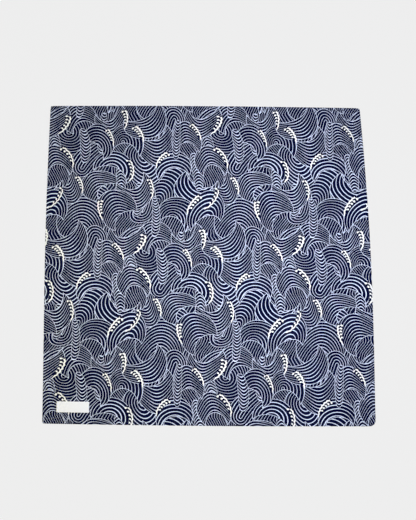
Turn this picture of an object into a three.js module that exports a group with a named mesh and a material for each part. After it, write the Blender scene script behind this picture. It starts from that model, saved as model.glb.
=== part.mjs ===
// A square cotton bandana laid flat, face up: one printed panel, the four narrow hems turned under its edges,
// and a small woven label sewn near one corner. Millimetres, +Z up. X runs along the near edge, Y away from the
// viewer, and the cloth rests on z = 0 with the middle of its outline at x = y = 0.
import * as THREE from "three";

// Driving sizes
const SIDE = 550; // finished side of the square
const CLOTH_THICKNESS = 1;
const HEM_WIDTH = 6;
const HEM_THICKNESS = 1; // the turned plies, pressed together
const HEM_FOLD = { round: 2, edgeShare: 0.55 }; // how a hem thins towards its two long folds
const SEAM_GAP = 0.3; // between sewn pieces
const HEM_STEP = 8; // how far inside the hem the panel comes down to the table
const LABEL = { width: 54, height: 18, thickness: 0.7, fromLeft: 23, fromNear: 19, fold: 2.5, foldExtra: 0.4 };
const GRID_STEP = 20; // spacing of the panel's sections, away from the hems

// Where each corner lies, as an offset from the corner of a true square, and how round it is
const CORNERS = {
  nearLeft: { dx: -1.5, dy: 3.1, radius: 3 },
  nearRight: { dx: 3.1, dy: -1.3, radius: 10 },
  farLeft: { dx: -2.6, dy: 1.0, radius: 2.5 },
  farRight: { dx: -8.7, dy: -3.0, radius: 4 },
};

// How far each edge bows out, and where along it the bow peaks, from 0 at the left or near end to 1
const EDGES = {
  near: { bow: 1.6, peak: 0.5 },
  far: { bow: 1.7, peak: 0.48 },
  left: { bow: 3.1, peak: 0.6 },
  right: { bow: 6.4, peak: 0.53 },
};

// Long soft ripples, where the cloth isn't quite pressed to the table: each runs between two points
const RIPPLES = [
  { fromX: 148, fromY: 150, toX: 286, toY: 196, width: 52, height: 1.7 },
  { fromX: 170, fromY: -92, toX: 284, toY: -70, width: 50, height: 1.1 },
  { fromX: -286, fromY: 96, toX: -196, toY: 128, width: 48, height: 1.0 },
  { fromX: -60, fromY: -284, toX: -18, toY: -176, width: 50, height: 1.2 },
  { fromX: 52, fromY: 284, toX: 84, toY: 178, width: 48, height: 1.1 },
];
const CORNER_CURL = { x: 279, y: -277, reach: 30, height: 2.2 }; // the round corner lifts a little

const mix = (a, b, t) => a + (b - a) * t;
const smooth = (t) => t * t * (3 - 2 * t);
const clamp01 = (t) => Math.min(1, Math.max(0, t));

// The corner points of the real outline, before it is centred
function corner(name, signX, signY) {
  const { dx, dy } = CORNERS[name];
  return new THREE.Vector2((signX * SIDE) / 2 + dx, (signY * SIDE) / 2 + dy);
}
const nearLeft = corner("nearLeft", -1, -1);
const nearRight = corner("nearRight", 1, -1);
const farLeft = corner("farLeft", -1, 1);
const farRight = corner("farRight", 1, 1);

// A point along an edge: a straight run between its corners, bowed out by a sine that peaks where the table says
function alongEdge(from, to, edge, outX, outY, t) {
  const skew = Math.log(0.5) / Math.log(edge.peak);
  const bow = edge.bow * Math.sin(Math.PI * t ** skew);
  return new THREE.Vector2(mix(from.x, to.x, t) + outX * bow, mix(from.y, to.y, t) + outY * bow);
}

// The panel's outline filled in from its four edges: across and up run from 0 to 1
function insideOutline(across, up) {
  const near = alongEdge(nearLeft, nearRight, EDGES.near, 0, -1, across);
  const far = alongEdge(farLeft, farRight, EDGES.far, 0, 1, across);
  const left = alongEdge(nearLeft, farLeft, EDGES.left, -1, 0, up);
  const right = alongEdge(nearRight, farRight, EDGES.right, 1, 0, up);
  const between = (axis) =>
    mix(near[axis], far[axis], up) +
    mix(left[axis], right[axis], across) -
    mix(mix(nearLeft[axis], nearRight[axis], across), mix(farLeft[axis], farRight[axis], across), up);
  return new THREE.Vector2(between("x"), between("y"));
}

// Rounds a corner: a square of that radius in the corner is pushed into a quarter disc
function roundCorners(fromLeft, fromNear) {
  let [a, b] = [fromLeft, fromNear];
  const rows = [
    [CORNERS.nearLeft.radius, false, false],
    [CORNERS.nearRight.radius, true, false],
    [CORNERS.farLeft.radius, false, true],
    [CORNERS.farRight.radius, true, true],
  ];
  for (const [radius, atRight, atFar] of rows) {
    const p = radius - (atRight ? SIDE - a : a);
    const q = radius - (atFar ? SIDE - b : b);
    if (p <= 0 || q <= 0) continue;
    const shrink = Math.max(p, q) / Math.hypot(p, q);
    a = atRight ? SIDE - radius + p * shrink : radius - p * shrink;
    b = atFar ? SIDE - radius + q * shrink : radius - q * shrink;
  }
  return [a, b];
}

// Distances along the cloth from its left and near edges, to a place in plan
const uncentred = (fromLeft, fromNear) => {
  const [a, b] = roundCorners(fromLeft, fromNear);
  return insideOutline(a / SIDE, b / SIDE);
};
const OUTLINE_SAMPLES = 400;
const outlineBox = new THREE.Box2();
for (let i = 0; i <= OUTLINE_SAMPLES; i++) {
  const s = (i / OUTLINE_SAMPLES) * SIDE;
  for (const [a, b] of [[s, 0], [s, SIDE], [0, s], [SIDE, s]]) outlineBox.expandByPoint(uncentred(a, b));
}
const outlineCentre = outlineBox.getCenter(new THREE.Vector2());
const place = (fromLeft, fromNear) => uncentred(fromLeft, fromNear).sub(outlineCentre);

// How far the cloth is off the table at a place in plan
function ripple({ x, y }) {
  let lift = 0;
  for (const r of RIPPLES) {
    const run = new THREE.Vector2(r.toX - r.fromX, r.toY - r.fromY);
    const along = ((x - r.fromX) * run.x + (y - r.fromY) * run.y) / run.lengthSq();
    const off = Math.abs((x - r.fromX) * run.y - (y - r.fromY) * run.x) / run.length();
    const across = smooth(clamp01(1 - off / (r.width / 2)));
    lift = Math.max(lift, r.height * across * Math.sin(Math.PI * clamp01(along)));
  }
  const curl = clamp01(1 - Math.hypot(x - CORNER_CURL.x, y - CORNER_CURL.y) / CORNER_CURL.reach);
  return Math.max(lift, CORNER_CURL.height * curl * curl);
}

// How far the hem under it holds the panel up, from the distance to the nearest edge
function overHem(fromLeft, fromNear) {
  const inside = Math.min(fromLeft, fromNear, SIDE - fromLeft, SIDE - fromNear);
  return (HEM_THICKNESS + SEAM_GAP) * (1 - smooth(clamp01((inside - HEM_WIDTH) / HEM_STEP)));
}

// A closed solid between a lower and an upper surface, each given at every crossing of two lists of lines
function slab(name, alongLines, acrossLines, lower, upper, material) {
  const [columns, rows] = [alongLines.length, acrossLines.length];
  const points = [];
  for (const surface of [lower, upper])
    for (const b of acrossLines) for (const a of alongLines) points.push(...surface(a, b).toArray());
  const index = [];
  const at = (level, i, j) => level * columns * rows + j * columns + i;
  const quad = (a, b, c, d) => index.push(a, b, c, a, c, d);
  for (let j = 0; j < rows - 1; j++)
    for (let i = 0; i < columns - 1; i++) {
      quad(at(1, i, j), at(1, i + 1, j), at(1, i + 1, j + 1), at(1, i, j + 1));
      quad(at(0, i, j), at(0, i, j + 1), at(0, i + 1, j + 1), at(0, i + 1, j));
    }
  for (let i = 0; i < columns - 1; i++) {
    quad(at(0, i, 0), at(0, i + 1, 0), at(1, i + 1, 0), at(1, i, 0));
    quad(at(0, i + 1, rows - 1), at(0, i, rows - 1), at(1, i, rows - 1), at(1, i + 1, rows - 1));
  }
  for (let j = 0; j < rows - 1; j++) {
    quad(at(0, 0, j + 1), at(0, 0, j), at(1, 0, j), at(1, 0, j + 1));
    quad(at(0, columns - 1, j), at(0, columns - 1, j + 1), at(1, columns - 1, j + 1), at(1, columns - 1, j));
  }
  const geometry = new THREE.BufferGeometry();
  geometry.setAttribute("position", new THREE.Float32BufferAttribute(points, 3));
  geometry.setIndex(index);
  geometry.computeVertexNormals();
  const mesh = new THREE.Mesh(geometry, material);
  mesh.name = name;
  return mesh;
}

// Section lines from one distance to another: the named ones near the ends, and even ones between
function lines(from, to, nearEnds, step) {
  const [inner, outer] = [from + nearEnds.at(-1), to - nearEnds.at(-1)];
  const count = Math.max(1, Math.round((outer - inner) / step));
  const even = Array.from({ length: count - 1 }, (_, i) => mix(inner, outer, (i + 1) / count));
  return [...nearEnds.map((d) => from + d), ...even, ...nearEnds.toReversed().map((d) => to - d)];
}
const CORNER_LINES = [0, 1.5, 3.5, HEM_WIDTH, 10, HEM_WIDTH + HEM_STEP];

// The cloth's face: a wall that steps down from its hems to the table
function panel(material) {
  const sections = lines(0, SIDE, CORNER_LINES, GRID_STEP);
  const surface = (extra) => (a, b) => {
    const p = place(a, b);
    return new THREE.Vector3(p.x, p.y, ripple(p) + overHem(a, b) + extra);
  };
  return slab("panel", sections, sections, surface(0), surface(CLOTH_THICKNESS), material);
}

// One hem: the turned plies under an edge, a flat strip whose two long folds are rounded on top.
// The near and far hems run the whole width, and the side hems fit between them.
function hem(name, side, material) {
  const sideways = side === "left" || side === "right";
  const atEnd = side === "right" || side === "far";
  const start = sideways ? HEM_WIDTH + SEAM_GAP : 0;
  const lengthwise = lines(start, SIDE - start, sideways ? [0, 4] : CORNER_LINES.slice(0, 4), GRID_STEP);
  const outerHalf = [0, 0.7, HEM_FOLD.round];
  const depths = [...outerHalf, ...outerHalf.toReversed().map((d) => HEM_WIDTH - d)];
  const crosswise = atEnd ? depths.map((d) => SIDE - d).toReversed() : depths;
  const thicknessAt = (depth) => {
    const fromFold = Math.min(depth, HEM_WIDTH - depth) / HEM_FOLD.round;
    return HEM_THICKNESS * mix(HEM_FOLD.edgeShare, 1, Math.sqrt(clamp01(fromFold)));
  };
  const surface = (share) => (a, b) => {
    const p = place(a, b);
    const fromStart = sideways ? a : b;
    const depth = atEnd ? SIDE - fromStart : fromStart;
    return new THREE.Vector3(p.x, p.y, ripple(p) + share * thicknessAt(depth));
  };
  const [alongX, alongY] = sideways ? [crosswise, lengthwise] : [lengthwise, crosswise];
  return slab(name, alongX, alongY, surface(0), surface(1), material);
}

// The label lies on the panel and follows it, with its two short ends folded under, so a little thicker there
function label(material) {
  const { width, height, thickness, fromLeft, fromNear, fold, foldExtra } = LABEL;
  const alongX = lines(fromLeft, fromLeft + width, [0, fold, fold + 1], 8);
  const alongY = lines(fromNear, fromNear + height, [0, 1], 5);
  const surface = (share) => (a, b) => {
    const p = place(a, b);
    const fromEnd = Math.min(a - fromLeft, fromLeft + width - a);
    const ply = thickness + (fromEnd <= fold ? foldExtra : 0);
    return new THREE.Vector3(p.x, p.y, ripple(p) + CLOTH_THICKNESS + SEAM_GAP + share * ply);
  };
  return slab("label", alongX, alongY, surface(0), surface(1), material);
}

const cloth = (color, roughness) => new THREE.MeshStandardMaterial({ color, roughness, metalness: 0 });
const PRINTED_COTTON = 0x676d82;
const TURNED_COTTON = 0x5a617a;
const LABEL_WHITE = 0xf4f0f0;

const bandana = new THREE.Group();
bandana.name = "bandana";
bandana.add(panel(cloth(PRINTED_COTTON, 0.9)));
for (const side of ["near", "far", "left", "right"]) bandana.add(hem(`hem_${side}`, side, cloth(TURNED_COTTON, 0.9)));
bandana.add(label(cloth(LABEL_WHITE, 0.6)));

export default bandana;
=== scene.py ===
"""A square cotton bandana laid flat: a printed panel, four turned hems, topstitching and a bare woven label.

Everything on the cloth is placed in cloth millimetres: a from its left edge and b from its near edge, as if
it were a true square. The function place() turns these into the slightly uneven outline of the cloth as laid.
"""
import math
import random

import bpy
import numpy as np
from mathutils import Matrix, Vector
from mathutils.geometry import delaunay_2d_cdt


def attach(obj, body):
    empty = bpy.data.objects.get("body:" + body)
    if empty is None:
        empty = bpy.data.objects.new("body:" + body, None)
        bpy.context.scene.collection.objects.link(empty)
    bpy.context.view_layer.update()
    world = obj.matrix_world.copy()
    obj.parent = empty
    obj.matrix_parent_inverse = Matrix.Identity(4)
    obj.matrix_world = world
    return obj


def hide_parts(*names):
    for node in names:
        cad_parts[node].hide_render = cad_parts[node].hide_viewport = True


MM = 0.001

# Driving sizes of the cloth, in millimetres
SIDE = 550.0
CLOTH = 0.5  # thickness of the printed cloth
HEM_WIDTH = 6.0
HEM_THICKNESS = 0.95  # the two turned plies
PLY_GAP = 0.05
HEM_STEP = 8.0  # how far inside the hem the cloth comes down to the table
HEM_INSET = 0.25  # how far the turned plies lie inside the cloth's edge
HEM_ENDS_APART = 0.3
HEM_CREASE = 0.25  # how deep the crease between the two plies is
FOLD_RADIUS = 0.7  # how softly the cloth turns over at its edge
FOLD_DROP = 0.6  # how far its edge comes down, as a share of that radius
LABEL = {"width": 54.0, "height": 18.0, "thickness": 0.4, "from_left": 23.0, "from_near": 19.0, "fold": 2.5}
LABEL_LIFT = 0.03  # keeps the label clear of the cloth
# What its folded ends add to its thickness, how far in its edges round off, and how high it swells
LABEL_FORM = {"folded": 0.35, "rounding": 0.5, "crown": 0.10, "buckle": 0.05}

# Where each corner lies, as an offset from the corner of a true square, and how round it is
CORNERS = {
    "near_left": {"dx": -1.5, "dy": 3.1, "radius": 3.0},
    "near_right": {"dx": 3.1, "dy": -1.3, "radius": 10.0},
    "far_left": {"dx": -2.6, "dy": 1.0, "radius": 2.5},
    "far_right": {"dx": -8.7, "dy": -3.0, "radius": 4.0},
}
# How far each edge bows out, and where along it the bow peaks
EDGES = {
    "near": {"bow": 1.6, "peak": 0.5},
    "far": {"bow": 1.7, "peak": 0.48},
    "left": {"bow": 3.1, "peak": 0.6},
    "right": {"bow": 6.4, "peak": 0.53},
}
# Long soft ripples, where the cloth isn't quite pressed to the table: each runs between two points
RIPPLES = [
    {"from": (148, 150), "to": (286, 196), "width": 52, "height": 1.7},
    {"from": (170, -92), "to": (284, -70), "width": 50, "height": 1.1},
    {"from": (-286, 96), "to": (-196, 128), "width": 48, "height": 1.0},
    {"from": (-60, -284), "to": (-18, -176), "width": 50, "height": 1.2},
    {"from": (52, 284), "to": (84, 178), "width": 48, "height": 1.1},
]
CORNER_CURL = {"at": (279, -277), "reach": 30, "height": 2.2}
# The small gathers of a topstitched hem: waves along it, with their rates in radians a millimetre
GATHERS = [
    {"share": 1.0, "rate": 0.52, "phase": 0.0},
    {"share": 0.6, "rate": 0.31, "phase": 1.3},
    {"share": 0.5, "rate": 0.83, "phase": 4.0},
]
GATHER = {"height": 0.09, "inset": 5.5, "reach": 4.5}  # highest at that inset from the edge

# Stitches: how far in their row is, their length, the gap between two and the thread's radius
HEM_STITCH = {"inset": 5.0, "length": 2.3, "gap": 0.45, "radius": 0.2}
LABEL_STITCH = {"inset": 1.4, "length": 1.7, "gap": 0.4, "radius": 0.17}
LABEL_STITCH_ENDS = 0.8  # from the label's long edges
LABEL_STITCH_LIFT = 0.33  # over the label's own thickness, where it is folded

# The print: a wave pattern that repeats as bricks do, each row shifted by half a repeat
REPEAT = (268.0, 211.5)
PRINT_SEED = 16
PRINT_MARGIN = 75  # how far off the cloth a wave's middle may be
ROWS, COLUMNS = 5, 5  # of large waves in one repeat
WAVE_JITTER = 7  # how far a large wave may be off its row and column
WAVE_TILT = 28  # how far it may lean, in degrees
LADDERS = 8  # in one repeat
LADDER_JITTER = 8
KIND_STRIDE = 5  # how far on in KINDS the next wave is
RIM = 0.7  # width of the white line round each wave
OUTLINE_STEP = 4.8  # spacing of the points along a wave's outline
# What a patch of the print is filled with; bolder lines are a little over LINES
LINES, NAVY, WHITE, CREAM = 0, 1, 2, 3
# How bold the lines of each kind of wave are, and how much they swell where they lie farther apart
BOLD = {"ladder": 0.45, "stacked": 0.22, "arch": 0.1, "round": 0.1, "crescent": 0.1}
SWELLING = 0.75
BOLDEST = 0.45
LADDER_BEND = 1.6  # how sharply a ladder's arcs bend
STACK = {"bend": 1.35, "radius": 0.8, "below": 1.8}  # a stack of equal arcs, as shares of a wave's size
BASE = {"lines": 60, "bends": 4, "sway": 3.2}  # in one repeat; a bend sways by that many lines
# The bends of the whole print: how far each moves it, and its turns along the two slants of the bricks
BENDS = [
    {"dx": 2.8, "dy": 0.0, "rising": 2, "falling": 0, "phase": 1.0},
    {"dx": 2.4, "dy": 0.0, "rising": 0, "falling": 2, "phase": 2.4},
    {"dx": 3.4, "dy": 0.0, "rising": 1, "falling": -1, "phase": 0.7},
    {"dx": 0.0, "dy": 2.8, "rising": 0, "falling": 2, "phase": 4.0},
    {"dx": 0.0, "dy": 3.6, "rising": 1, "falling": 0, "phase": 1.9},
    {"dx": 0.0, "dy": 1.6, "rising": 1, "falling": 1, "phase": 3.0},
]

# A foam crest: its dark bed, its scalloped spine, and the hooks that curl back from it, each with a ball
HOOKS = 5
FOAM_APART = 26  # between the middles of two crests
FOAM_BED = {"before": 4.5, "after": 1.0, "outside": 1.4, "depth": 8.2, "narrows": 3.0}
FOAM_SPINE = {"before": 1.5, "after": 5.0, "inward": 1.5, "scallop": 1.4, "half": 1.25, "thins": 0.85}
FOAM_HOOK = [
    {"back": 0.0, "inward": 1.0, "half": 1.1},
    {"back": 0.9, "inward": 3.2, "half": 1.0},
    {"back": 2.4, "inward": 4.9, "half": 1.0},
]
FOAM_BALL = {"back": 2.0, "inward": 5.1, "radius": 1.85}
FIRST_HOOK = {"size": 1.12, "back": 1.0}
HOOKS_SHRINK = 0.3  # from the first to the last

# Where the cloth can bend: squares at these distances inside its edge, and an even grid inside them
EDGE_GUIDES = (0.0, 0.25, 0.7, 2.5, 4.5, HEM_WIDTH, 8.0, 10.0, 12.0, HEM_WIDTH + HEM_STEP)
POINTS_PER_SIDE = 80
GRID = {"inset": 24, "count": 47}


def smooth(t):
    return t * t * (3 - 2 * t)


def mix(a, b, t):
    return a + (b - a) * t


def corner(name, sign_x, sign_y):
    c = CORNERS[name]
    return np.array([sign_x * SIDE / 2 + c["dx"], sign_y * SIDE / 2 + c["dy"]])


NEAR_LEFT, NEAR_RIGHT = corner("near_left", -1, -1), corner("near_right", 1, -1)
FAR_LEFT, FAR_RIGHT = corner("far_left", -1, 1), corner("far_right", 1, 1)


def along_edge(start, end, edge, out, t):
    skew = math.log(0.5) / math.log(edge["peak"])
    bow = edge["bow"] * np.sin(np.pi * t**skew)
    return start + (end - start) * t[:, None] + np.outer(bow, out)


def round_corners(a, b):
    """Pushes the square at each corner of the cloth into a quarter disc."""
    a, b = a.copy(), b.copy()
    for name, at_right, at_far in (
        ("near_left", False, False),
        ("near_right", True, False),
        ("far_left", False, True),
        ("far_right", True, True),
    ):
        radius = CORNERS[name]["radius"]
        p = radius - (SIDE - a if at_right else a)
        q = radius - (SIDE - b if at_far else b)
        inside = (p > 0) & (q > 0)
        p, q = np.where(inside, p, 1.0), np.where(inside, q, 1.0)
        shrink = np.maximum(p, q) / np.hypot(p, q)
        a = np.where(inside, SIDE - radius + p * shrink if at_right else radius - p * shrink, a)
        b = np.where(inside, SIDE - radius + q * shrink if at_far else radius - q * shrink, b)
    return a, b


def uncentred(a, b):
    a, b = round_corners(a, b)
    s, t = a / SIDE, b / SIDE
    near = along_edge(NEAR_LEFT, NEAR_RIGHT, EDGES["near"], (0, -1), s)
    far = along_edge(FAR_LEFT, FAR_RIGHT, EDGES["far"], (0, 1), s)
    left = along_edge(NEAR_LEFT, FAR_LEFT, EDGES["left"], (-1, 0), t)
    right = along_edge(NEAR_RIGHT, FAR_RIGHT, EDGES["right"], (1, 0), t)
    s, t = s[:, None], t[:, None]
    corners = mix(mix(NEAR_LEFT, NEAR_RIGHT, s), mix(FAR_LEFT, FAR_RIGHT, s), t)
    return mix(near, far, t) + mix(left, right, s) - corners


def outline_centre():
    run = np.linspace(0, SIDE, 401)
    low, high = np.zeros_like(run), np.full_like(run, SIDE)
    rim = np.vstack([uncentred(*ab) for ab in ((run, low), (run, high), (low, run), (high, run))])
    return (rim.min(axis=0) + rim.max(axis=0)) / 2


CENTRE = outline_centre()


def place(a, b):
    """Cloth millimetres to millimetres on the table."""
    return uncentred(a, b) - CENTRE


def ripple(xy):
    """How far the cloth is off the table."""
    lift = np.zeros(len(xy))
    for r in RIPPLES:
        start = np.array(r["from"], float)
        run = np.array(r["to"], float) - start
        off = xy - start
        along = np.clip(off @ run / (run @ run), 0, 1)
        across = np.abs(off[:, 0] * run[1] - off[:, 1] * run[0]) / np.hypot(*run)
        bump = smooth(np.clip(1 - across / (r["width"] / 2), 0, 1))
        lift = np.maximum(lift, r["height"] * bump * np.sin(np.pi * along))
    curl = np.clip(1 - np.hypot(*(xy - CORNER_CURL["at"]).T) / CORNER_CURL["reach"], 0, 1)
    return np.maximum(lift, CORNER_CURL["height"] * curl**2)


def from_edge(a, b):
    return np.minimum(np.minimum(a, SIDE - a), np.minimum(b, SIDE - b))


def pucker(a, b):
    """The small gathers that a topstitched hem has, strongest at the stitches."""
    run = np.where(np.minimum(a, SIDE - a) < np.minimum(b, SIDE - b), b, a)
    wave = sum(g["share"] * np.sin(run * g["rate"] + g["phase"]) for g in GATHERS)
    fade = np.exp(-(((from_edge(a, b) - GATHER["inset"]) / GATHER["reach"]) ** 2))
    return GATHER["height"] * wave * fade


def lying(a, b, above):
    """Points on the table at a height above the underside of the cloth."""
    xy = place(a, b)
    over_hem = 1 - smooth(np.clip((from_edge(a, b) - HEM_WIDTH) / HEM_STEP, 0, 1))
    z = ripple(xy) + (HEM_THICKNESS + PLY_GAP) * over_hem + pucker(a, b) * over_hem + above
    return np.column_stack([xy, z])


# The print's layout


def warp(x, y):
    """A gentle bend of the whole print, so that no wave is a plain arc. It repeats with the print."""
    along_x, along_y = 2 * np.pi * x / REPEAT[0], 2 * np.pi * y / REPEAT[1]
    rising, falling = along_x + along_y / 2, along_x - along_y / 2
    bent_x, bent_y = x, y
    for bend in BENDS:
        push = np.sin(bend["rising"] * rising + bend["falling"] * falling + bend["phase"])
        bent_x, bent_y = bent_x + bend["dx"] * push, bent_y + bend["dy"] * push
    return bent_x, bent_y


def unwarp(x, y):
    """The place that warp() takes to x and y, found by repeated correction."""
    px, py = x.copy(), y.copy()
    for _ in range(12):
        wx, wy = warp(px, py)
        px, py = px + x - wx, py + y - wy
    return px, py


def one_repeat():
    """The waves of one repeat, loosely spaced like bricks, with their crowns up or down by turns."""
    rng = random.Random(PRINT_SEED)
    waves = []
    for number in range(ROWS * COLUMNS):
        row, column = divmod(number, COLUMNS)
        up = (row + column) % 2 == 0
        wave = {
            "x": (column + 0.5 * (row % 2)) * REPEAT[0] / COLUMNS + rng.uniform(-WAVE_JITTER, WAVE_JITTER),
            "y": row * REPEAT[1] / ROWS + rng.uniform(-WAVE_JITTER, WAVE_JITTER),
            "aim": (90 if up else -90) + rng.uniform(-WAVE_TILT, WAVE_TILT),
        }
        wave.update(KINDS[(number * KIND_STRIDE + row) % len(KINDS)](rng, up))
        if "foam" in wave and crowded(wave, waves):
            del wave["foam"]
        waves.append(wave)
    for number in range(LADDERS):
        x = (number + 0.5) * REPEAT[0] / LADDERS + rng.uniform(-LADDER_JITTER, LADDER_JITTER)
        waves.append({"x": x, "y": rng.uniform(0, REPEAT[1]), **ladder(rng)})
    return waves


def foam_middle(wave):
    """The middle of a wave's foam crest, in the print."""
    crest = wave["foam"]
    angle = crest["side"] * (crest["start"] + crest["way"] * crest["length"] / 2 / wave["size"])
    return to_print(wave, polar(wave["size"], np.array([angle])))


def crowded(wave, others):
    """Whether a wave's foam would run into another's."""
    x, y = foam_middle(wave)
    for other in others:
        if "foam" in other:
            other_x, other_y = foam_middle(other)
            rows = round((y - other_y).item() / REPEAT[1])
            dx, dy = (x - other_x).item() - REPEAT[0] * rows / 2, (y - other_y).item() - REPEAT[1] * rows
            dx -= REPEAT[0] * round(dx / REPEAT[0])
            if math.hypot(dx, dy) < FOAM_APART:
                return True
    return False


def crested(rng, up):
    """A crescent wave with foam down one side, from its crown if that is up and to it if that is down."""
    side = rng.choice([-1, 1])
    length = rng.uniform(28, 35)
    return {
        "shape": "crescent",
        "size": rng.uniform(29, 37),
        "slim": rng.uniform(0.95, 1.25),
        "back": rng.uniform(0.0, 0.5),
        "bite": (-side * rng.uniform(0.0, 0.5), rng.uniform(0.8, 0.95), rng.uniform(0.7, 0.85)),
        "pitch": rng.uniform(4.95, 5.5),
        "stacked": rng.random() < 0.4,
        "lean": rng.uniform(0.1, 0.28),
        "toward": -side * rng.uniform(0.6, 2.8),
        "foam": {
            "side": side,
            "length": length,
            "start": rng.uniform(0.6, 0.95) if up else rng.uniform(1.6, 2.0),
            "way": 1 if up else -1,
        },
        "order": rng.uniform(0.7, 1.0),
    }


def crescent(rng, up):
    return {
        "shape": "crescent",
        "size": rng.uniform(30, 40),
        "slim": rng.uniform(0.95, 1.25),
        "back": rng.uniform(0.0, 0.5),
        "bite": (rng.uniform(-0.6, 0.6), rng.uniform(0.75, 0.95), rng.uniform(0.7, 0.85)),
        "pitch": rng.uniform(4.85, 5.4),
        "stacked": rng.random() < 0.5,
        "lean": rng.uniform(0.1, 0.3),
        "toward": rng.uniform(-math.pi, math.pi),
        "order": rng.uniform(0.2, 0.8),
    }


def arch(rng, up):
    """A dome whose lines run on as two long bent legs."""
    return {
        "shape": "arch",
        "size": rng.uniform(20, 27),
        "leg": rng.uniform(65, 90),
        "bend": rng.choice([-1, 1]) * rng.uniform(0.2, 0.6),
        "pitch": rng.uniform(4.6, 5.0),
        "lean": rng.uniform(0.0, 0.15),
        "toward": rng.choice([-1, 1]) * math.pi / 2,
        "order": rng.uniform(0.1, 0.7),
    }


def swell(rng, up):
    """A big round wave at the back, of which only stretches show."""
    return {
        "shape": "round",
        "aim": rng.choice([-90, 90]) + rng.uniform(-35, 35),
        "size": rng.uniform(48, 62),
        "slim": rng.uniform(1.0, 1.4),
        "back": rng.uniform(0.2, 0.8),
        "pitch": rng.uniform(4.95, 5.5),
        "stacked": False,
        "lean": rng.uniform(0.1, 0.28),
        "toward": rng.uniform(-math.pi, math.pi),
        "order": rng.uniform(0.0, 0.3),
    }


def ladder(rng):
    """A narrow upright stack of short arcs."""
    return {
        "shape": "ladder",
        "aim": 90 + rng.uniform(-6, 6),
        "size": rng.uniform(6.0, 10.0),
        "leg": rng.uniform(60, 88),
        "bend": rng.uniform(-0.25, 0.25),
        "way": rng.choice([-1, 1]),
        "pitch": rng.uniform(5.0, 5.8),
        "order": rng.uniform(0.7, 1.0),
    }


# The large waves by turns: each is made from the random source and whether its crown is up
KINDS = [crested, arch, crested, swell, crested, crescent]


def whole_print():
    """Copies of the repeat over the whole cloth, back to front."""
    reach = SIDE / 2 + PRINT_MARGIN
    copies = []
    for wave in one_repeat():
        for row in range(-2, 4):
            for column in range(-4, 5):
                x = wave["x"] + REPEAT[0] * (column + row / 2)
                y = wave["y"] + REPEAT[1] * row
                if abs(x) < reach and abs(y) < reach:
                    copies.append({**wave, "x": x, "y": y})
    return sorted(copies, key=lambda wave: wave["order"])


def spine_shift(wave, v):
    """How far a long wave's middle line is bent sideways."""
    if wave["shape"] == "arch":
        return wave["bend"] * wave["leg"] * np.clip(v / wave["leg"], -1, 0) ** 2
    return wave["bend"] * wave["leg"] * (v / wave["leg"]) ** 2


def polar(radius, angle, middle=(0.0, 0.0)):
    """Points on a circle, with angles from the v axis towards u."""
    return np.column_stack([middle[0] + radius * np.sin(angle), middle[1] + radius * np.cos(angle)])


def arc(radius, start, end, middle=(0.0, 0.0)):
    count = max(3, math.ceil(abs(end - start) * radius / OUTLINE_STEP))
    return polar(radius, np.linspace(start, end, count + 1), middle)


def crescent_outline(wave, inset):
    """A disc with a round bite out of it, drawn in by inset."""
    size = wave["size"]
    bite_u, bite_v, bite_size = wave["bite"]
    outer, inner = size - inset, size * bite_size + inset
    middle = (bite_u * size, -bite_v * size)
    apart = math.hypot(*middle)
    facing = math.atan2(middle[0], middle[1])
    outer_half = math.acos((outer**2 + apart**2 - inner**2) / (2 * outer * apart))
    inner_half = math.acos((inner**2 + apart**2 - outer**2) / (2 * inner * apart))
    back = arc(outer, facing + outer_half, facing + 2 * math.pi - outer_half)
    hollow = arc(inner, facing + math.pi + inner_half, facing + math.pi - inner_half, middle)
    return np.vstack([back, hollow[1:-1]])


def arch_outline(wave, inset):
    size, leg = wave["size"] - inset, wave["leg"] - 3 * inset
    dome = arc(size, -math.pi / 2, math.pi / 2)
    count = math.ceil(leg / OUTLINE_STEP)
    down = np.linspace(0, math.pi / 2, count + 1)[1:]
    half, v = size * np.cos(down), -leg * np.sin(down)
    shift = spine_shift(wave, v)
    right = np.column_stack([shift + half, v])
    left = np.column_stack([shift - half, v])[:-1]
    return np.vstack([dome, right, left[::-1]])


def ladder_outline(wave, inset):
    size, half_length = wave["size"] - inset / 2, wave["leg"] / 2 - inset
    turn = np.linspace(-math.pi / 2, math.pi / 2, math.ceil(wave["leg"] / OUTLINE_STEP))
    v, half = half_length * np.sin(turn), size * np.cos(turn) ** 0.7
    shift = spine_shift(wave, v)
    right = np.column_stack([shift + half, v])
    left = np.column_stack([shift - half, v])[1:-1]
    return np.vstack([right, left[::-1]])


def outline(wave, inset):
    """A wave's outline in its own u and v."""
    if wave["shape"] == "arch":
        return arch_outline(wave, inset)
    if wave["shape"] == "ladder":
        return ladder_outline(wave, inset)
    if wave["shape"] == "crescent":
        points = crescent_outline(wave, inset)
    else:
        points = arc(wave["size"] - inset, 0, 2 * math.pi)[:-1]
    return points / [wave["slim"], 1]


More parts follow.
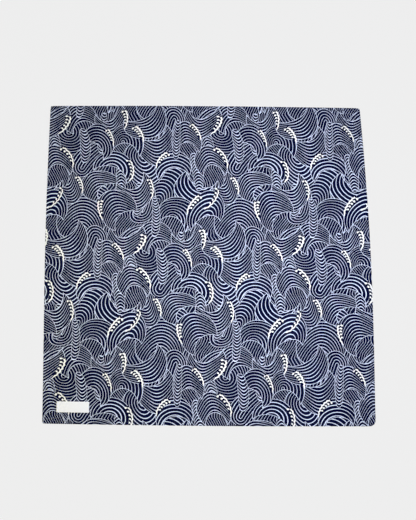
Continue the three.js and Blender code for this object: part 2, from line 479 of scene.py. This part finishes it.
def foam(wave):
    """A crest's patches, back to front: its bed, its spine along the wave's edge, and the hooks inside it."""
    size, crest = wave["size"], wave["foam"]
    length = crest["length"]
    step = length / HOOKS

    def spots(along, inward):
        angle = crest["side"] * (crest["start"] + crest["way"] * np.asarray(along) / size)
        out = polar(1.0, angle)
        return size * out / [wave["slim"], 1] - np.asarray(inward)[:, None] * out

    def ball(along, inward, radius):
        turn = np.linspace(0, 2 * math.pi, 9)[:-1]
        return spots(along + radius * np.cos(turn), inward + radius * np.sin(turn))

    def band(along, inward, half):
        return np.vstack([spots(along, inward - half), spots(along, inward + half)[::-1]])

    bed = np.linspace(-FOAM_BED["before"], length + FOAM_BED["after"], 11)
    deep = FOAM_BED["depth"] - FOAM_BED["narrows"] * np.clip(bed / length, 0, 1)
    outside = np.full_like(bed, -FOAM_BED["outside"])
    patches = [(NAVY, np.vstack([spots(bed, outside), spots(bed, deep)[::-1]]))]

    along = np.linspace(-FOAM_SPINE["before"], length + FOAM_SPINE["after"], 4 * HOOKS + 7)
    taper = np.clip((along - length) / FOAM_SPINE["after"], 0, 1)
    scallop = FOAM_SPINE["scallop"] * np.abs(np.sin(math.pi * along / step)) * (1 - taper)
    half = FOAM_SPINE["half"] - FOAM_SPINE["thins"] * taper
    patches.append((CREAM, band(along, FOAM_SPINE["inward"] - scallop, half)))

    back, inward, half = (np.array([row[name] for row in FOAM_HOOK]) for name in ("back", "inward", "half"))
    for k in range(HOOKS):
        grow = FIRST_HOOK["size"] - HOOKS_SHRINK * k / HOOKS
        root = k * step - (0 if k else FIRST_HOOK["back"])
        patches.append((CREAM, band(root - back * grow, inward * grow, half)))
        curled = root - FOAM_BALL["back"] * grow
        patches.append((CREAM, ball(curled, FOAM_BALL["inward"] * grow, FOAM_BALL["radius"] * grow)))
    return patches


def to_print(wave, points):
    """A wave's own u and v to places in the print: v runs the way that the wave aims, and u to its right."""
    aim = math.radians(wave["aim"])
    u, v = points.T
    x = wave["x"] + u * math.sin(aim) + v * math.cos(aim)
    y = wave["y"] - u * math.cos(aim) + v * math.sin(aim)
    return x, y


def from_print(wave, x, y):
    """The way back from to_print()."""
    aim = math.radians(wave["aim"])
    dx, dy = x - wave["x"], y - wave["y"]
    return dx * math.sin(aim) - dy * math.cos(aim), dx * math.cos(aim) + dy * math.sin(aim)


def leaning_rings(u, v, outer, lean, toward):
    """Rings inside an outer circle, crowded together on the side they lean toward."""
    side_u, side_v = math.sin(toward), math.cos(toward)
    u, v = u - lean * outer * side_u, v - lean * outer * side_v
    along, across = u * side_u + v * side_v, v * side_u - u * side_v
    spread = 1 - lean**2
    return along / spread, across / math.sqrt(spread), lean * along / spread - outer


def line_field(wave, x, y):
    """What the material draws lines from: a line's number is the length of two values, plus the third."""
    u, v = from_print(wave, x, y)
    size = wave["size"]
    if wave["shape"] == "ladder":
        u = u - spine_shift(wave, v)
        field = (u * LADDER_BEND, np.full_like(u, size), wave["way"] * v)
    elif wave["shape"] == "arch":
        u = u - spine_shift(wave, v)
        field = leaning_rings(u, np.maximum(v, 0), size, wave["lean"], wave["toward"])
    elif wave["stacked"]:
        u = u * wave["slim"] * STACK["bend"]
        field = (u, np.full_like(u, STACK["radius"] * size), v - STACK["below"] * size)
    else:
        behind = wave["back"] * size
        field = leaning_rings(u * wave["slim"], v + behind, size + behind, wave["lean"], wave["toward"])
    return np.column_stack(field) / wave["pitch"]


def line_weight(wave, x, y):
    """How bold a wave's lines are: they swell where they lie far apart."""
    step = 0.1
    number = []
    for dx, dy in ((0, 0), (step, 0), (0, step)):
        across, along, start = line_field(wave, x + dx, y + dy).T
        number.append(np.hypot(across, along) + start)
    crowding = np.hypot(number[1] - number[0], number[2] - number[0]) / step * wave["pitch"]
    bold = BOLD["stacked" if wave.get("stacked") else wave["shape"]]
    return np.clip(bold + SWELLING * (1 / np.maximum(crowding, 0.5) - 1), 0, BOLDEST)


def base_field(x, y):
    """Between the waves: upright lines with sharp bends."""
    climb = y / REPEAT[1] * BASE["bends"]
    zigzag = np.abs((climb - np.floor(climb)) * 2 - 1)
    number = x * BASE["lines"] / REPEAT[0] + BASE["sway"] * zigzag
    return np.column_stack([np.zeros_like(x), np.zeros_like(x), number])


# The panel as a flat map of patches, then lifted on to the table


def guide_lines():
    """Points that the cloth bends at: squares near its edge, and an even grid inside."""
    points, edges = [], []
    for inset in EDGE_GUIDES:
        run = np.linspace(inset, SIDE - inset, POINTS_PER_SIDE + 1)[:-1]
        low, high = np.full_like(run, inset), np.full_like(run, SIDE - inset)
        back = run[::-1] + (SIDE - inset - run[-1])
        sides = ((run, low), (high, run), (back, high), (low, back))
        loop = np.vstack([np.column_stack(side) for side in sides])
        start = len(points)
        points += loop.tolist()
        edges += [(start + k, start + (k + 1) % len(loop)) for k in range(len(loop))]
    grid = np.linspace(GRID["inset"], SIDE - GRID["inset"], GRID["count"])
    points += [(a, b) for b in grid for a in grid]
    return points, edges


def on_cloth(points):
    return np.all(points.max(axis=0) > 0) and np.all(points.min(axis=0) < SIDE)


def counter_clockwise(points):
    x, y = points.T
    area = np.sum(x * np.roll(y, -1) - np.roll(x, -1) * y)
    return points if area > 0 else points[::-1]


def print_patches():
    """Each patch of ink, back to front: its fill, its wave and its outline in cloth millimetres."""
    waves = whole_print()
    drawn = []
    for wave in waves:
        drawn += [(WHITE, wave, outline(wave, 0.0)), (LINES, wave, outline(wave, RIM))]
    for wave in waves:
        if "foam" in wave:
            drawn += [(ink, wave, points) for ink, points in foam(wave)]
    patches = []
    for ink, wave, points in drawn:
        points = np.column_stack(unwarp(*to_print(wave, points))) + SIDE / 2
        if on_cloth(points):
            patches.append((ink, wave, counter_clockwise(points)))
    return patches


def panel_map():
    """The cloth's face, cut into triangles along every patch, with each corner's ink and line field."""
    points, edges = guide_lines()
    square = [(0, 0), (SIDE, 0), (SIDE, SIDE), (0, SIDE)]
    patches = print_patches()
    faces = [list(range(len(points), len(points) + 4))]
    points += square
    for _, _, patch in patches:
        faces.append(list(range(len(points), len(points) + len(patch))))
        points += patch.tolist()
    points, _, triangles, _, _, inside = delaunay_2d_cdt(
        [Vector(p) for p in points], edges, faces, 1, 1e-4, True
    )
    points = np.array([tuple(p) for p in points])
    kept = [k for k, owners in enumerate(inside) if 0 in owners]
    used, triangles = np.unique([triangles[k] for k in kept], return_inverse=True)
    points, triangles = points[used], triangles.reshape(-1, 3)
    top = np.array([max(inside[k]) for k in kept])
    x, y = warp(*(points - SIDE / 2).T)
    field = base_field(x, y)[triangles]
    ink = np.full((len(triangles), 3), float(LINES))
    for number, (fill, wave, _) in enumerate(patches, start=1):
        mine = top == number
        if mine.any():
            spots = x[triangles[mine]].ravel(), y[triangles[mine]].ravel()
            field[mine] = line_field(wave, *spots).reshape(-1, 3, 3)
            ink[mine] = line_weight(wave, *spots).reshape(-1, 3) if fill == LINES else fill
    return points, triangles, ink, field


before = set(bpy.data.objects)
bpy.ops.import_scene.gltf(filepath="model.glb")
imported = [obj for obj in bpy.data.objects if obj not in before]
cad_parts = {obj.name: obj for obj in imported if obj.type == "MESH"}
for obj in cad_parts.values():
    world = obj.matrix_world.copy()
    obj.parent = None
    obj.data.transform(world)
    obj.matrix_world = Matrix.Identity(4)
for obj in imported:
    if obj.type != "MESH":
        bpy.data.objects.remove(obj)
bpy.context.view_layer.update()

# The pieces


def new_object(name, mesh, material, node=None):
    obj = bpy.data.objects.new(name, mesh)
    bpy.context.scene.collection.objects.link(obj)
    mesh.materials.append(material)
    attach(obj, "root")
    if node:
        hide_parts(node)
    return obj


def build_mesh(name, points, faces):
    mesh = bpy.data.meshes.new(name)
    mesh.from_pydata((np.asarray(points) * MM).tolist(), [], [list(map(int, f)) for f in faces])
    mesh.shade_smooth()
    return mesh


def corner_values(mesh, name, kind, values):
    layer = mesh.attributes.new(name, kind, "CORNER")
    key = "value" if kind == "FLOAT" else "vector"
    layer.data.foreach_set(key, np.ascontiguousarray(values, dtype=np.float32).ravel())


def uv_values(mesh, name, values):
    layer = mesh.uv_layers.new(name=name)
    layer.uv.foreach_set("vector", np.ascontiguousarray(values, dtype=np.float32).ravel())


def build_panel(material):
    points, triangles, ink, field = panel_map()
    a, b = points.T
    inside = np.clip(from_edge(a, b), 0, FOLD_RADIUS)
    turned = FOLD_RADIUS - np.sqrt(FOLD_RADIUS**2 - (FOLD_RADIUS - inside) ** 2)
    face = lying(a, b, CLOTH)
    face[:, 2] -= turned * FOLD_DROP
    back = lying(a, b, 0.0)
    count = len(points)
    pairs = np.vstack([triangles[:, [0, 1]], triangles[:, [1, 2]], triangles[:, [2, 0]]])
    owner = np.tile(np.arange(len(triangles)), 3)
    keys = np.sort(pairs, axis=1)
    _, first, uses = np.unique(keys, axis=0, return_index=True, return_counts=True)
    rim, rim_owner = pairs[first[uses == 1]], owner[first[uses == 1]]
    walls = np.column_stack([rim[:, 1], rim[:, 0], rim[:, 0] + count, rim[:, 1] + count])
    faces = triangles.tolist() + (triangles[:, ::-1] + count).tolist() + walls.tolist()
    mesh = build_mesh("panel_cloth", np.vstack([face, back]), faces)
    wall_field = np.repeat(field[rim_owner].mean(axis=1)[:, None], 4, axis=1)
    fields = np.vstack([field.reshape(-1, 3), field[:, ::-1].reshape(-1, 3), wall_field.reshape(-1, 3)])
    corner_values(mesh, "wave", "FLOAT_VECTOR", fields)
    inks = np.concatenate([ink.ravel(), ink[:, ::-1].ravel(), np.repeat(ink[rim_owner].mean(axis=1), 4)])
    corner_values(mesh, "ink", "FLOAT", inks)
    plan = np.vstack([points, points])[np.concatenate([np.ravel(f) for f in faces])]
    uv_values(mesh, "OFBake", plan / SIDE)
    uv_values(mesh, "Cloth", plan)
    return new_object("panel_cloth", mesh, material, "panel")


def tube_faces(stations, rows):
    """Quads between closed sections of so many points, one at each station, and a cap at both ends."""
    faces = []
    for i in range(stations - 1):
        for j in range(rows):
            k = (j + 1) % rows
            faces.append((i * rows + j, (i + 1) * rows + j, (i + 1) * rows + k, i * rows + k))
    faces.append(tuple(range(rows)))
    faces.append(tuple(range((stations - 1) * rows, stations * rows))[::-1])
    return faces


def build_hem(side, material):
    """The turned plies under one edge: a flattened roll, with a crease where its two plies meet."""
    sideways = side in ("left", "right")
    at_end = side in ("right", "far")
    start = HEM_WIDTH + HEM_ENDS_APART if sideways else HEM_ENDS_APART
    run = np.linspace(start, SIDE - start, 180)
    half = HEM_THICKNESS / 2
    turn = np.linspace(-math.pi / 2, math.pi / 2, 7)
    outer = [(HEM_INSET + half - half * math.cos(t), half + half * math.sin(t)) for t in turn]
    inner = [(HEM_WIDTH - half + half * math.cos(t), half - half * math.sin(t)) for t in turn]
    crease = len(turn) // 2
    inner[crease] = (inner[crease][0] - HEM_CREASE, half)
    section = np.array(outer + [(HEM_WIDTH / 2, HEM_THICKNESS)] + inner + [(HEM_WIDTH / 2, 0.0)])
    lengthwise = np.repeat(run, len(section))
    depth, height = np.tile(section, (len(run), 1)).T
    crosswise = SIDE - depth if at_end else depth
    a, b = (crosswise, lengthwise) if sideways else (lengthwise, crosswise)
    xy = place(a, b)
    points = np.column_stack([xy, ripple(xy) + height])
    faces = tube_faces(len(run), len(section))
    if side in ("near", "right"):
        faces = [face[::-1] for face in faces]
    mesh = build_mesh(f"hem_{side}_cloth", points, faces)
    index = np.concatenate([np.array(f) for f in faces])
    x, y = warp(a - SIDE / 2, b - SIDE / 2)
    corner_values(mesh, "wave", "FLOAT_VECTOR", base_field(y, x)[index])
    corner_values(mesh, "ink", "FLOAT", np.zeros(len(index)))
    uv_values(mesh, "Cloth", np.column_stack([a, b])[index])
    return new_object(f"hem_{side}_cloth", mesh, material, f"hem_{side}")


# Materials


def new_material(name):
    material = bpy.data.materials.new(name)
    material.use_nodes = True
    return material, material.node_tree, material.node_tree.nodes["Principled BSDF"]


def add_node(tree, kind, inputs=(), **settings):
    """A node with its settings, whose inputs are linked or set in order; None leaves one as it is."""
    node = tree.nodes.new(kind)
    for key, value in settings.items():
        setattr(node, key, value)
    for socket, value in zip(node.inputs, inputs):
        if isinstance(value, bpy.types.NodeSocket):
            tree.links.new(value, socket)
        elif value is not None:
            socket.default_value = value
    return node


def maths(tree, operation, *inputs):
    return add_node(tree, "ShaderNodeMath", inputs, operation=operation).outputs[0]


def mix_colour(tree, factor, first, second):
    node = tree.nodes.new("ShaderNodeMix")
    node.data_type = "RGBA"
    for name, value in (("Factor_Float", factor), ("A_Color", first), ("B_Color", second)):
        socket = next(s for s in node.inputs if s.identifier == name)
        if isinstance(value, bpy.types.NodeSocket):
            tree.links.new(value, socket)
        else:
            socket.default_value = value if name == "Factor_Float" else (*value, 1)
    return next(s for s in node.outputs if s.identifier == "Result_Color")


def ramp(tree, value, low, high, to_low=0.0, to_high=1.0):
    return add_node(
        tree, "ShaderNodeMapRange", (value, low, high, to_low, to_high), interpolation_type="SMOOTHSTEP"
    ).outputs[0]


def noise(tree, vector, scale, detail=2.0, stretch=(1, 1, 1)):
    stretched = add_node(tree, "ShaderNodeVectorMath", (vector, stretch), operation="MULTIPLY").outputs[0]
    return add_node(tree, "ShaderNodeTexNoise", (stretched, None, scale, detail)).outputs[0]


def plain_weave(tree, cloth, threads_per_mm):
    """The over and under of a plain weave, from 0 to 1."""
    split = add_node(tree, "ShaderNodeSeparateXYZ", (cloth,))
    step = math.pi * threads_per_mm
    warp_thread = maths(tree, "SINE", maths(tree, "MULTIPLY", split.outputs[0], step))
    weft_thread = maths(tree, "SINE", maths(tree, "MULTIPLY", split.outputs[1], step))
    crossing = maths(tree, "MULTIPLY", warp_thread, weft_thread)
    return maths(tree, "MULTIPLY_ADD", crossing, 0.5, 0.5)


def tinted(tree, colour, shade):
    """A colour made lighter or darker by a shade."""
    scaled = add_node(tree, "ShaderNodeVectorMath", (colour,), operation="SCALE")
    tree.links.new(shade, scaled.inputs["Scale"])
    return scaled.outputs[0]


def give_relief(tree, shader, height, strength, distance):
    bump = add_node(tree, "ShaderNodeBump", (strength, distance))
    tree.links.new(height, bump.inputs["Height"])
    tree.links.new(bump.outputs[0], shader.inputs["Normal"])


THREADS_PER_MM = 2.6
SLUB_DETAIL = 3.0
SLUB_ALONG, SLUB_ACROSS = (0.05, 1.6, 1.0), (1.6, 0.05, 1.0)  # how a thick thread's noise is stretched
SLUB_RANGE = (0.6, 1.4)  # from thin threads to thick ones
LABEL_THREADS_PER_MM = 4.2
LABEL_RIBS_PER_MM = 5.0
# A printed line: half of its dark part, as a share of the spacing, and what changes that
LINE = {"navy_half": 0.409, "uneven": 0.07, "boldness": 0.25, "soft": 0.03, "wobble": 0.08}
NAVY_DYE = (0.0004, 0.0014, 0.021)
WORN_NAVY = (0.0014, 0.0034, 0.032)
PALE_THREAD = (0.73, 0.79, 0.95)
CREAM_THREAD = (0.93, 0.925, 0.88)
LABEL_WHITES = ((0.93, 0.93, 0.96), (0.975, 0.97, 1.0))
# Stitch threads: dark in the painted shade of their twist's grooves, light on its crowns
NAVY_STITCH = ((0.006, 0.009, 0.028), (0.02, 0.028, 0.07))
WHITE_STITCH = ((0.72, 0.70, 0.70), (0.88, 0.87, 0.87))


def printed_cotton():
    material, tree, shader = new_material("printed_cotton")
    cloth = add_node(tree, "ShaderNodeUVMap", uv_map="Cloth").outputs[0]
    wave = add_node(tree, "ShaderNodeAttribute", attribute_name="wave").outputs["Vector"]
    ink = add_node(tree, "ShaderNodeAttribute", attribute_name="ink").outputs["Fac"]

    split = add_node(tree, "ShaderNodeSeparateXYZ", (wave,))
    flat = add_node(tree, "ShaderNodeCombineXYZ", (split.outputs[0], split.outputs[1]))
    length = add_node(tree, "ShaderNodeVectorMath", (flat.outputs[0],), operation="LENGTH").outputs["Value"]
    number = maths(tree, "ADD", length, split.outputs[2])
    wobble = maths(tree, "MULTIPLY_ADD", noise(tree, cloth, 0.35), 2 * LINE["wobble"], -LINE["wobble"])
    part = maths(tree, "FRACT", maths(tree, "ADD", number, wobble))
    off_line = maths(tree, "ABSOLUTE", maths(tree, "SUBTRACT", part, 0.5))
    navy_half = maths(tree, "MULTIPLY_ADD", noise(tree, cloth, 0.06), LINE["uneven"], LINE["navy_half"])
    navy_half = maths(tree, "MULTIPLY_ADD", ink, -LINE["boldness"], navy_half)
    lined = ramp(tree, maths(tree, "SUBTRACT", off_line, navy_half), -LINE["soft"], LINE["soft"])
    is_lines = maths(tree, "LESS_THAN", ink, NAVY - 0.5)
    is_pale = maths(tree, "GREATER_THAN", ink, WHITE - 0.5)
    is_cream = maths(tree, "GREATER_THAN", ink, CREAM - 0.5)
    pale = maths(tree, "MAXIMUM", maths(tree, "MULTIPLY", lined, is_lines), is_pale)

    slub_along = noise(tree, cloth, 1.0, SLUB_DETAIL, SLUB_ALONG)
    slub_across = noise(tree, cloth, 1.0, SLUB_DETAIL, SLUB_ACROSS)
    slubs = maths(tree, "ADD", slub_along, slub_across)
    patchy = noise(tree, cloth, 0.02, 4.0)
    weave = plain_weave(tree, cloth, THREADS_PER_MM)
    worn = ramp(tree, maths(tree, "ADD", slubs, patchy), 1.2, 1.9)
    navy = mix_colour(tree, worn, NAVY_DYE, WORN_NAVY)
    thread = mix_colour(tree, is_cream, PALE_THREAD, CREAM_THREAD)
    printed = mix_colour(tree, pale, navy, thread)
    shade = ramp(tree, slubs, *SLUB_RANGE, 0.86, 1.10)
    shade = maths(tree, "MULTIPLY", shade, maths(tree, "MULTIPLY_ADD", weave, 0.16, 0.90))
    tree.links.new(tinted(tree, printed, shade), shader.inputs["Base Color"])

    give_relief(tree, shader, maths(tree, "MULTIPLY_ADD", slubs, 0.6, weave), 0.35, 0.00012)
    tree.links.new(ramp(tree, slubs, *SLUB_RANGE, 0.78, 0.92), shader.inputs["Roughness"])
    shader.inputs["Specular IOR Level"].default_value = 0.03
    shader.inputs["Sheen Weight"].default_value = 0.006
    shader.inputs["Sheen Roughness"].default_value = 0.45
    shader.inputs["Sheen Tint"].default_value = (0.72, 0.80, 1.0, 1)
    return material


def label_weave():
    material, tree, shader = new_material("label_weave")
    cloth = add_node(tree, "ShaderNodeUVMap", uv_map="Cloth").outputs[0]
    split = add_node(tree, "ShaderNodeSeparateXYZ", (cloth,))
    rib = maths(tree, "SINE", maths(tree, "MULTIPLY", split.outputs[1], math.pi * LABEL_RIBS_PER_MM))
    weave = plain_weave(tree, cloth, LABEL_THREADS_PER_MM)
    weave = maths(tree, "MULTIPLY_ADD", weave, 0.6, maths(tree, "MULTIPLY", rib, 0.4))
    floats = noise(tree, cloth, 1.0, 3.0, (0.5, 5.0, 1.0))
    colour = mix_colour(tree, floats, *LABEL_WHITES)
    shade = maths(tree, "MULTIPLY_ADD", weave, 0.07, 0.94)
    tree.links.new(tinted(tree, colour, shade), shader.inputs["Base Color"])
    give_relief(tree, shader, maths(tree, "MULTIPLY_ADD", floats, 0.5, weave), 0.3, 0.00008)
    tree.links.new(ramp(tree, floats, 0.3, 0.7, 0.42, 0.58), shader.inputs["Roughness"])
    shader.inputs["Sheen Weight"].default_value = 0.1
    return material


def thread_material(name, dark, light):
    material, tree, shader = new_material(name)
    place_on = add_node(tree, "ShaderNodeTexCoord").outputs["Object"]
    # The twist's bands are painted shade and light on the thread: dark in the grooves between its plies,
    # light on their crowns
    twist = add_node(tree, "ShaderNodeTexWave", (place_on, 900.0, 2.0), bands_direction="DIAGONAL")
    tree.links.new(mix_colour(tree, twist.outputs["Fac"], dark, light), shader.inputs["Base Color"])
    give_relief(tree, shader, twist.outputs["Fac"], 0.5, 0.00006)
    shader.inputs["Roughness"].default_value = 0.6
    shader.inputs["Sheen Weight"].default_value = 0.2
    return material


# The label and the stitches


def section_places(near_ends, length, inset, count):
    """Distances along a length: the given ones at both ends, and even ones between."""
    even = np.linspace(inset, length - inset, count)
    return np.array([*near_ends, *even, *(length - d for d in near_ends[::-1])])


def build_label(material):
    """A woven tape with its short ends folded under, lying on the cloth."""
    width, height, fold = LABEL["width"], LABEL["height"], LABEL["fold"]
    along = section_places([0.0, 0.15, 0.5, 1.2, fold - 0.3, fold + 0.5], width, 4.0, 24)
    across = section_places([0.0, 0.12, 0.5, 1.3], height, 2.2, 9)
    s, t = [grid.ravel() for grid in np.meshgrid(along, across, indexing="ij")]
    a, b = LABEL["from_left"] + s, LABEL["from_near"] + t
    from_end = np.minimum(s, width - s)
    from_long = np.minimum(t, height - t)
    folded = smooth(np.clip((fold + 0.5 - from_end) / 0.8, 0, 1))
    end_round = np.sqrt(np.clip(from_end / LABEL_FORM["rounding"], 0, 1))
    long_round = np.sqrt(np.clip(from_long / LABEL_FORM["rounding"], 0, 1))
    rounded = end_round * (0.35 + 0.65 * long_round)
    crown = LABEL_FORM["crown"] * np.sin(np.pi * s / width) * np.sin(np.pi * t / height)
    buckle = LABEL_FORM["buckle"] * np.sin(s * 0.42 + 1.0) * np.sin(np.pi * t / height)
    thick = LABEL["thickness"] * (0.3 + 0.7 * rounded) + LABEL_FORM["folded"] * folded * rounded
    thick += crown + buckle
    low = lying(a, b, CLOTH + LABEL_LIFT)
    high = low + np.column_stack([np.zeros_like(a), np.zeros_like(a), thick])
    rows, columns = len(along), len(across)
    count = rows * columns
    top = []
    for i in range(rows - 1):
        for j in range(columns - 1):
            k = i * columns + j
            top.append((k, k + columns, k + columns + 1, k + 1))
    under = [tuple(v + count for v in face[::-1]) for face in top]
    loop = [i * columns for i in range(rows)] + [(rows - 1) * columns + j for j in range(1, columns)]
    loop += [i * columns + columns - 1 for i in range(rows - 2, -1, -1)] + list(range(columns - 2, 0, -1))
    walls = [(v, loop[k - 1], loop[k - 1] + count, v + count) for k, v in enumerate(loop)]
    faces = top + under + walls
    mesh = build_mesh("label_tape", np.vstack([high, low]), faces)
    index = np.concatenate([np.array(f) for f in faces]) % count
    uv_values(mesh, "Cloth", np.column_stack([a, b])[index])
    return new_object("label_tape", mesh, material, "label")


def stitch_row(start_at, end_at, above, stitch):
    """Short thread loops between two cloth points: each dips into the cloth at both ends."""
    total = math.dist(start_at, end_at)
    gap, radius = stitch["gap"], stitch["radius"]
    count = int(total / (stitch["length"] + gap))
    pitch = total / count
    points, faces = [], []
    sides, rings = 6, 5
    for k in range(count):
        stations = (k + 0.5) * pitch + np.linspace(-0.5, 0.5, rings) * (pitch - gap)
        a, b = (mix(start_at[axis], end_at[axis], stations / total) for axis in (0, 1))
        arch_up = np.cos(np.linspace(-0.5, 0.5, rings) * math.pi)
        middle = lying(a, b, above)
        middle[:, 2] += radius * (1.5 * arch_up - 0.9)
        run = middle[-1] - middle[0]
        run /= np.linalg.norm(run)
        out = np.array([-run[1], run[0], 0])
        start = len(points)
        for ring in range(rings):
            thin = radius * (0.55 + 0.45 * arch_up[ring])
            for side in range(sides):
                angle = 2 * math.pi * side / sides
                up = np.array([0, 0, thin * math.sin(angle)])
                points.append(middle[ring] + out * thin * math.cos(angle) + up)
        for ring in range(rings - 1):
            for side in range(sides):
                p, q = start + ring * sides + side, start + ring * sides + (side + 1) % sides
                faces.append((p, q, q + sides, p + sides))
        faces.append(tuple(start + side for side in reversed(range(sides))))
        faces.append(tuple(start + (rings - 1) * sides + side for side in range(sides)))
    return points, faces


def build_stitches(name, rows, material, above, stitch):
    points, faces = [], []
    for start_at, end_at in rows:
        row_points, row_faces = stitch_row(start_at, end_at, above, stitch)
        faces += [tuple(v + len(points) for v in face) for face in row_faces]
        points += row_points
    return new_object(name, build_mesh(name, points, faces), material)


def hem_stitching(material):
    low, high = HEM_STITCH["inset"], SIDE - HEM_STITCH["inset"]
    square = [(low, low), (high, low), (high, high), (low, high), (low, low)]
    return build_stitches("hem_stitches", list(zip(square, square[1:])), material, CLOTH, HEM_STITCH)


def label_stitching(material):
    low = LABEL["from_near"] + LABEL_STITCH_ENDS
    high = LABEL["from_near"] + LABEL["height"] - LABEL_STITCH_ENDS
    places = (LABEL_STITCH["inset"], LABEL["width"] - LABEL_STITCH["inset"])
    rows = [[(LABEL["from_left"] + s, low), (LABEL["from_left"] + s, high)] for s in places]
    above = CLOTH + LABEL["thickness"] + LABEL_STITCH_LIFT
    return build_stitches("label_stitches", rows, material, above, LABEL_STITCH)


cotton = printed_cotton()
panel = build_panel(cotton)
hems = [build_hem(side, cotton) for side in ("near", "far", "left", "right")]
label = build_label(label_weave())
hem_stitches = hem_stitching(thread_material("navy_thread", *NAVY_STITCH))
label_stitches = label_stitching(thread_material("white_thread", *WHITE_STITCH))


# The surface, the light and the camera, in metres and watts

FLOOR_RADIUS = 6.0
SWEEP_RADIUS = 2.0
WALL_TOP = 3.7
FLOOR_DROP = 0.0002  # keeps the floor clear of the cloth
FLOOR_GLOW = 0.842
LIGHTS = {
    "key": {"at": (0.12, 0.01, 0.645), "aim": (0.12, 0.01, 0.0), "size": 0.35, "power": 5.3},
    "fill": {"at": (-0.6, -0.2, 0.5), "aim": (-0.15, -0.1, 0.0), "size": 0.4, "power": 1.15},
}
LIGHT_COLOURS = {"key": (0.93, 0.985, 1.14), "fill": (1.0, 0.88, 0.22)}
SURROUND_LIGHT = 0.02
CAMERA = {"eye": (-0.0002, -0.1569, 1.2271), "aim": (-0.0002, 0.0027, 0.0), "lens": 50, "sensor": 36}


def build_backdrop():
    """A round pale floor that sweeps up into a low wall far from the cloth."""
    sweep = [
        (FLOOR_RADIUS + SWEEP_RADIUS * math.sin(t), SWEEP_RADIUS - SWEEP_RADIUS * math.cos(t))
        for t in np.linspace(0.2, math.pi / 2, 8)
    ]
    profile = [(0.0, 0.0), (FLOOR_RADIUS, 0.0), *sweep, (FLOOR_RADIUS + SWEEP_RADIUS, WALL_TOP)]
    sides = 64
    points = [
        (radius * math.cos(turn), radius * math.sin(turn), height - FLOOR_DROP)
        for radius, height in profile
        for turn in np.arange(sides) * 2 * math.pi / sides
    ]
    faces = []
    for ring in range(len(profile) - 1):
        for side in range(sides):
            p, q = ring * sides + side, ring * sides + (side + 1) % sides
            faces.append((p, p + sides, q + sides, q))
    mesh = bpy.data.meshes.new("backdrop")
    mesh.from_pydata(points, [], faces)
    mesh.shade_smooth()
    material, _, shader = new_material("backdrop")
    shader.inputs["Base Color"].default_value = (0.015, 0.015, 0.015, 1)
    shader.inputs["Roughness"].default_value = 1.0
    shader.inputs["Specular IOR Level"].default_value = 0.0
    shader.inputs["Emission Color"].default_value = (1, 1, 1, 1)
    shader.inputs["Emission Strength"].default_value = FLOOR_GLOW
    mesh.materials.append(material)
    backdrop = bpy.data.objects.new("backdrop", mesh)
    bpy.context.scene.collection.objects.link(backdrop)


def put_facing(name, data, eye, aim):
    """A light or a camera at eye, turned towards aim."""
    obj = bpy.data.objects.new(name, data)
    obj.location = eye
    obj.rotation_euler = (Vector(aim) - Vector(eye)).to_track_quat("-Z", "Y").to_euler()
    bpy.context.scene.collection.objects.link(obj)
    return obj


def build_lights():
    for name, row in LIGHTS.items():
        light = bpy.data.lights.new(name, "AREA")
        light.shape = "DISK"
        light.size = row["size"]
        light.energy = row["power"]
        light.color = LIGHT_COLOURS[name]
        put_facing(name, light, row["at"], row["aim"])


def build_camera():
    """Held over the cloth, a little to the near side of straight down."""
    camera = bpy.data.cameras.new("camera")
    camera.lens = CAMERA["lens"]
    camera.sensor_fit = "VERTICAL"
    camera.sensor_height = CAMERA["sensor"]
    bpy.context.scene.camera = put_facing("camera", camera, CAMERA["eye"], CAMERA["aim"])


build_backdrop()
build_lights()
world = bpy.data.worlds.new("surround")
bpy.context.scene.world = world
world.use_nodes = True
world.node_tree.nodes["Background"].inputs[0].default_value = (1, 1, 1, 1)
world.node_tree.nodes["Background"].inputs[1].default_value = SURROUND_LIGHT
build_camera()
bpy.context.scene.view_settings.view_transform = "Standard"
